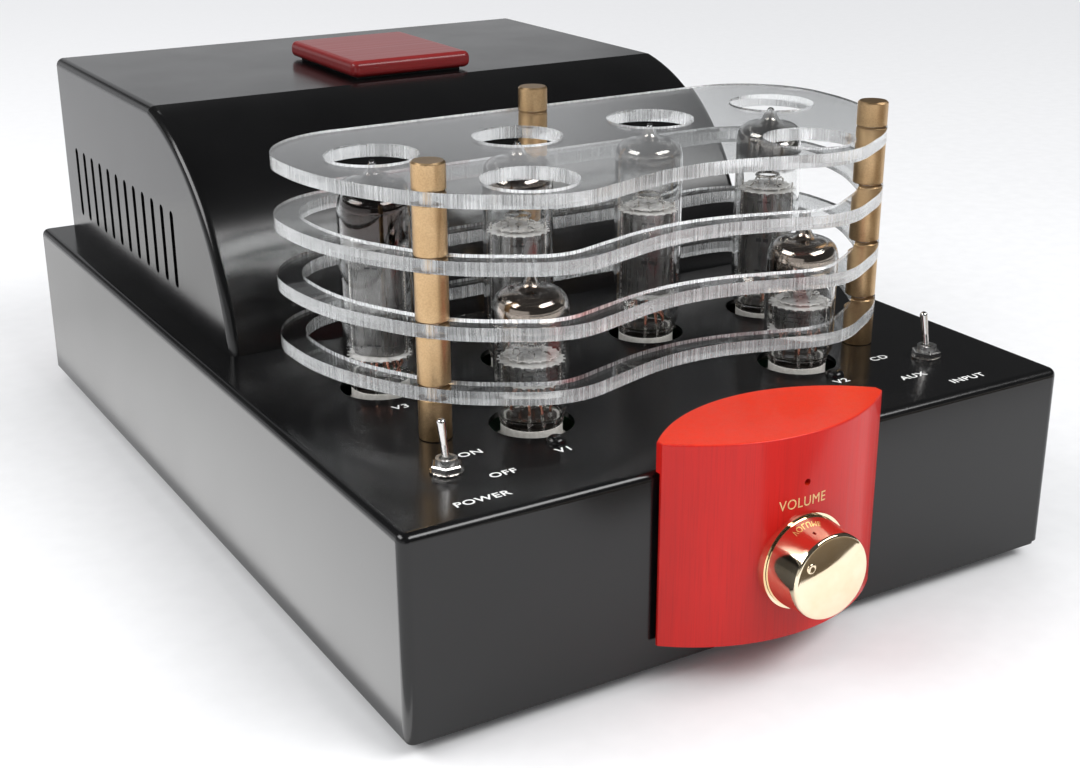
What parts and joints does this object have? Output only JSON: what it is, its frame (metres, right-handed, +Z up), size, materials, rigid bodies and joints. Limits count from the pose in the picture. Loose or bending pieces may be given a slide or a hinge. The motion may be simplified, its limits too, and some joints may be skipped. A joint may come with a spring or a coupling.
{
  "type": "stereo tube amplifier",
  "caption": "Stereo tube amplifier with a curved transformer cover, tubes inside an acrylic guard on brass posts, a wooden front block and a gold volume knob.",
  "frame": {"origin": "on the floor under the middle of the chassis, which is the middle of the whole object's box", "axes": "+X right along the front, +Y from the front panel to the rear panel, +Z up"},
  "size_m": [0.23, 0.3952, 0.145],
  "materials": {
    "badge_pad": "matte foam tape",
    "badge_plate": "dark red stained, lacquered",
    "base_plate": "black powder coat",
    "base_screws": "zinc plated",
    "block_screws": "zinc plated",
    "block_spacer": "black",
    "board_standoffs": "turned",
    "capacitors": "sleeved",
    "chassis": "semi-gloss black powder coat",
    "circuit_board": "solder mask",
    "cover_screws": "zinc plated",
    "deck_screws": "black oxide",
    "feet": "matte",
    "foot_screws": "zinc plated",
    "front_block": "red stained, satin lacquer",
    "fuse_drawer": "moulded",
    "guard_ring_1": "clear acrylic, polished faces",
    "guard_ring_2": "clear acrylic, polished faces",
    "guard_ring_3": "clear acrylic, polished faces",
    "guard_top_plate": "clear acrylic, polished faces",
    "inlet_pins": "plated",
    "input_jacks": "gold plated",
    "input_switch_body": "nickel-plated bushing on a moulded case",
    "input_switch_lever": "polished",
    "knob_ring": "polished gold plate",
    "mains_transformer": "varnished laminations",
    "output_transformers": "varnished laminations",
    "post_caps": "satin turned",
    "post_rods": "zinc plated",
    "post_spacers": "satin turned",
    "pot_nut": "nickel plated",
    "power_inlet": "moulded",
    "power_switch_body": "nickel-plated bushing on a moulded case",
    "power_switch_lever": "polished",
    "remote_eye": "dark infrared window",
    "switch_nuts": "plated",
    "switch_washers": "plated",
    "terminal_bases": "moulded",
    "terminal_cap_1": "moulded",
    "terminal_cap_2": "moulded",
    "terminal_cap_3": "moulded",
    "terminal_cap_4": "moulded",
    "terminal_posts": "gold plated",
    "transformer_cover": "semi-gloss black powder coat",
    "tube_1_electrodes": "nickel and grey anode",
    "tube_1_glass": "clear, silvered at the crown",
    "tube_2_electrodes": "nickel and grey anode",
    "tube_2_glass": "clear, silvered at the crown",
    "tube_3_electrodes": "nickel and grey anode",
    "tube_3_glass": "clear, silvered at the crown",
    "tube_4_electrodes": "nickel and grey anode",
    "tube_4_glass": "clear, silvered at the crown",
    "tube_5_electrodes": "nickel and grey anode",
    "tube_5_glass": "clear, silvered at the crown",
    "tube_6_electrodes": "nickel and grey anode",
    "tube_6_glass": "clear, silvered at the crown",
    "tube_sockets": "white ceramic-filled",
    "volume_knob": "polished gold plate",
    "volume_pot": "pressed steel",
    "volume_shaft": "turned"
  },
  "bodies": {
    "amplifier": {"badge_pad": "badge_pad", "badge_plate": "badge_plate", "base_plate": "base_plate", "base_screws": "base_screws", "block_screws": "block_screws", "block_spacer": "block_spacer", "board_standoffs": "board_standoffs", "capacitors": "capacitors", "chassis": "chassis", "circuit_board": "circuit_board", "cover_screws": "cover_screws", "deck_screws": "deck_screws", "feet": "feet", "foot_screws": "foot_screws", "front_block": "front_block", "guard_ring_1": "guard_ring_1", "guard_ring_2": "guard_ring_2", "guard_ring_3": "guard_ring_3", "guard_top_plate": "guard_top_plate", "inlet_pins": "inlet_pins", "input_jacks": "input_jacks", "input_switch_body": "input_switch_body", "knob_ring": "knob_ring", "mains_transformer": "mains_transformer", "output_transformers": "output_transformers", "post_caps": "post_caps", "post_rods": "post_rods", "post_spacers": "post_spacers", "pot_nut": "pot_nut", "power_inlet": "power_inlet", "power_switch_body": "power_switch_body", "remote_eye": "remote_eye", "switch_nuts": "switch_nuts", "switch_washers": "switch_washers", "terminal_bases": "terminal_bases", "terminal_posts": "terminal_posts", "transformer_cover": "transformer_cover", "tube_sockets": "tube_sockets", "volume_pot": "volume_pot"},
    "volume": {"volume_knob": "volume_knob", "volume_shaft": "volume_shaft"},
    "power_lever": {"power_switch_lever": "power_switch_lever"},
    "input_lever": {"input_switch_lever": "input_switch_lever"},
    "fuse_drawer": {"fuse_drawer": "fuse_drawer"},
    "tube_1": {"tube_1_glass": "tube_1_glass", "tube_1_electrodes": "tube_1_electrodes"},
    "tube_2": {"tube_2_glass": "tube_2_glass", "tube_2_electrodes": "tube_2_electrodes"},
    "tube_3": {"tube_3_glass": "tube_3_glass", "tube_3_electrodes": "tube_3_electrodes"},
    "tube_4": {"tube_4_glass": "tube_4_glass", "tube_4_electrodes": "tube_4_electrodes"},
    "tube_5": {"tube_5_glass": "tube_5_glass", "tube_5_electrodes": "tube_5_electrodes"},
    "tube_6": {"tube_6_glass": "tube_6_glass", "tube_6_electrodes": "tube_6_electrodes"},
    "terminal_cap_1": {"terminal_cap_1": "terminal_cap_1"},
    "terminal_cap_2": {"terminal_cap_2": "terminal_cap_2"},
    "terminal_cap_3": {"terminal_cap_3": "terminal_cap_3"},
    "terminal_cap_4": {"terminal_cap_4": "terminal_cap_4"}
  },
  "joints": [
    {"name": "volume_turn", "type": "hinge", "parent": "amplifier", "child": "volume", "pos_m": [0, -0.18, 0.0363], "axis": [0, 1, 0], "range_deg": [-92, 208]},
    {"name": "power_toggle", "type": "hinge", "parent": "amplifier", "child": "power_lever", "pos_m": [-0.0865, -0.138, 0.0671], "axis": [1, 0, 0], "range_deg": [0, 24]},
    {"name": "input_toggle", "type": "hinge", "parent": "amplifier", "child": "input_lever", "pos_m": [0.0865, -0.138, 0.0671], "axis": [1, 0, 0], "range_deg": [0, 24]},
    {"name": "tube_1_lift", "type": "slide", "parent": "amplifier", "child": "tube_1", "axis": [0, 0, 1], "range_m": [0, 0.09]},
    {"name": "tube_2_lift", "type": "slide", "parent": "amplifier", "child": "tube_2", "axis": [0, 0, 1], "range_m": [0, 0.09]},
    {"name": "tube_3_lift", "type": "slide", "parent": "amplifier", "child": "tube_3", "axis": [0, 0, 1], "range_m": [0, 0.09]},
    {"name": "tube_4_lift", "type": "slide", "parent": "amplifier", "child": "tube_4", "axis": [0, 0, 1], "range_m": [0, 0.09]},
    {"name": "tube_5_lift", "type": "slide", "parent": "amplifier", "child": "tube_5", "axis": [0, 0, 1], "range_m": [0, 0.09]},
    {"name": "tube_6_lift", "type": "slide", "parent": "amplifier", "child": "tube_6", "axis": [0, 0, 1], "range_m": [0, 0.09]},
    {"name": "fuse_drawer_slide", "type": "slide", "parent": "amplifier", "child": "fuse_drawer", "axis": [0, 1, 0], "range_m": [0, 0.015]},
    {"name": "terminal_cap_1_travel", "type": "slide", "parent": "amplifier", "child": "terminal_cap_1", "axis": [0, 1, 0], "range_m": [0, 0.005]},
    {"name": "terminal_cap_2_travel", "type": "slide", "parent": "amplifier", "child": "terminal_cap_2", "axis": [0, 1, 0], "range_m": [0, 0.005]},
    {"name": "terminal_cap_3_travel", "type": "slide", "parent": "amplifier", "child": "terminal_cap_3", "axis": [0, 1, 0], "range_m": [0, 0.005]},
    {"name": "terminal_cap_4_travel", "type": "slide", "parent": "amplifier", "child": "terminal_cap_4", "axis": [0, 1, 0], "range_m": [0, 0.005]}
  ]
}
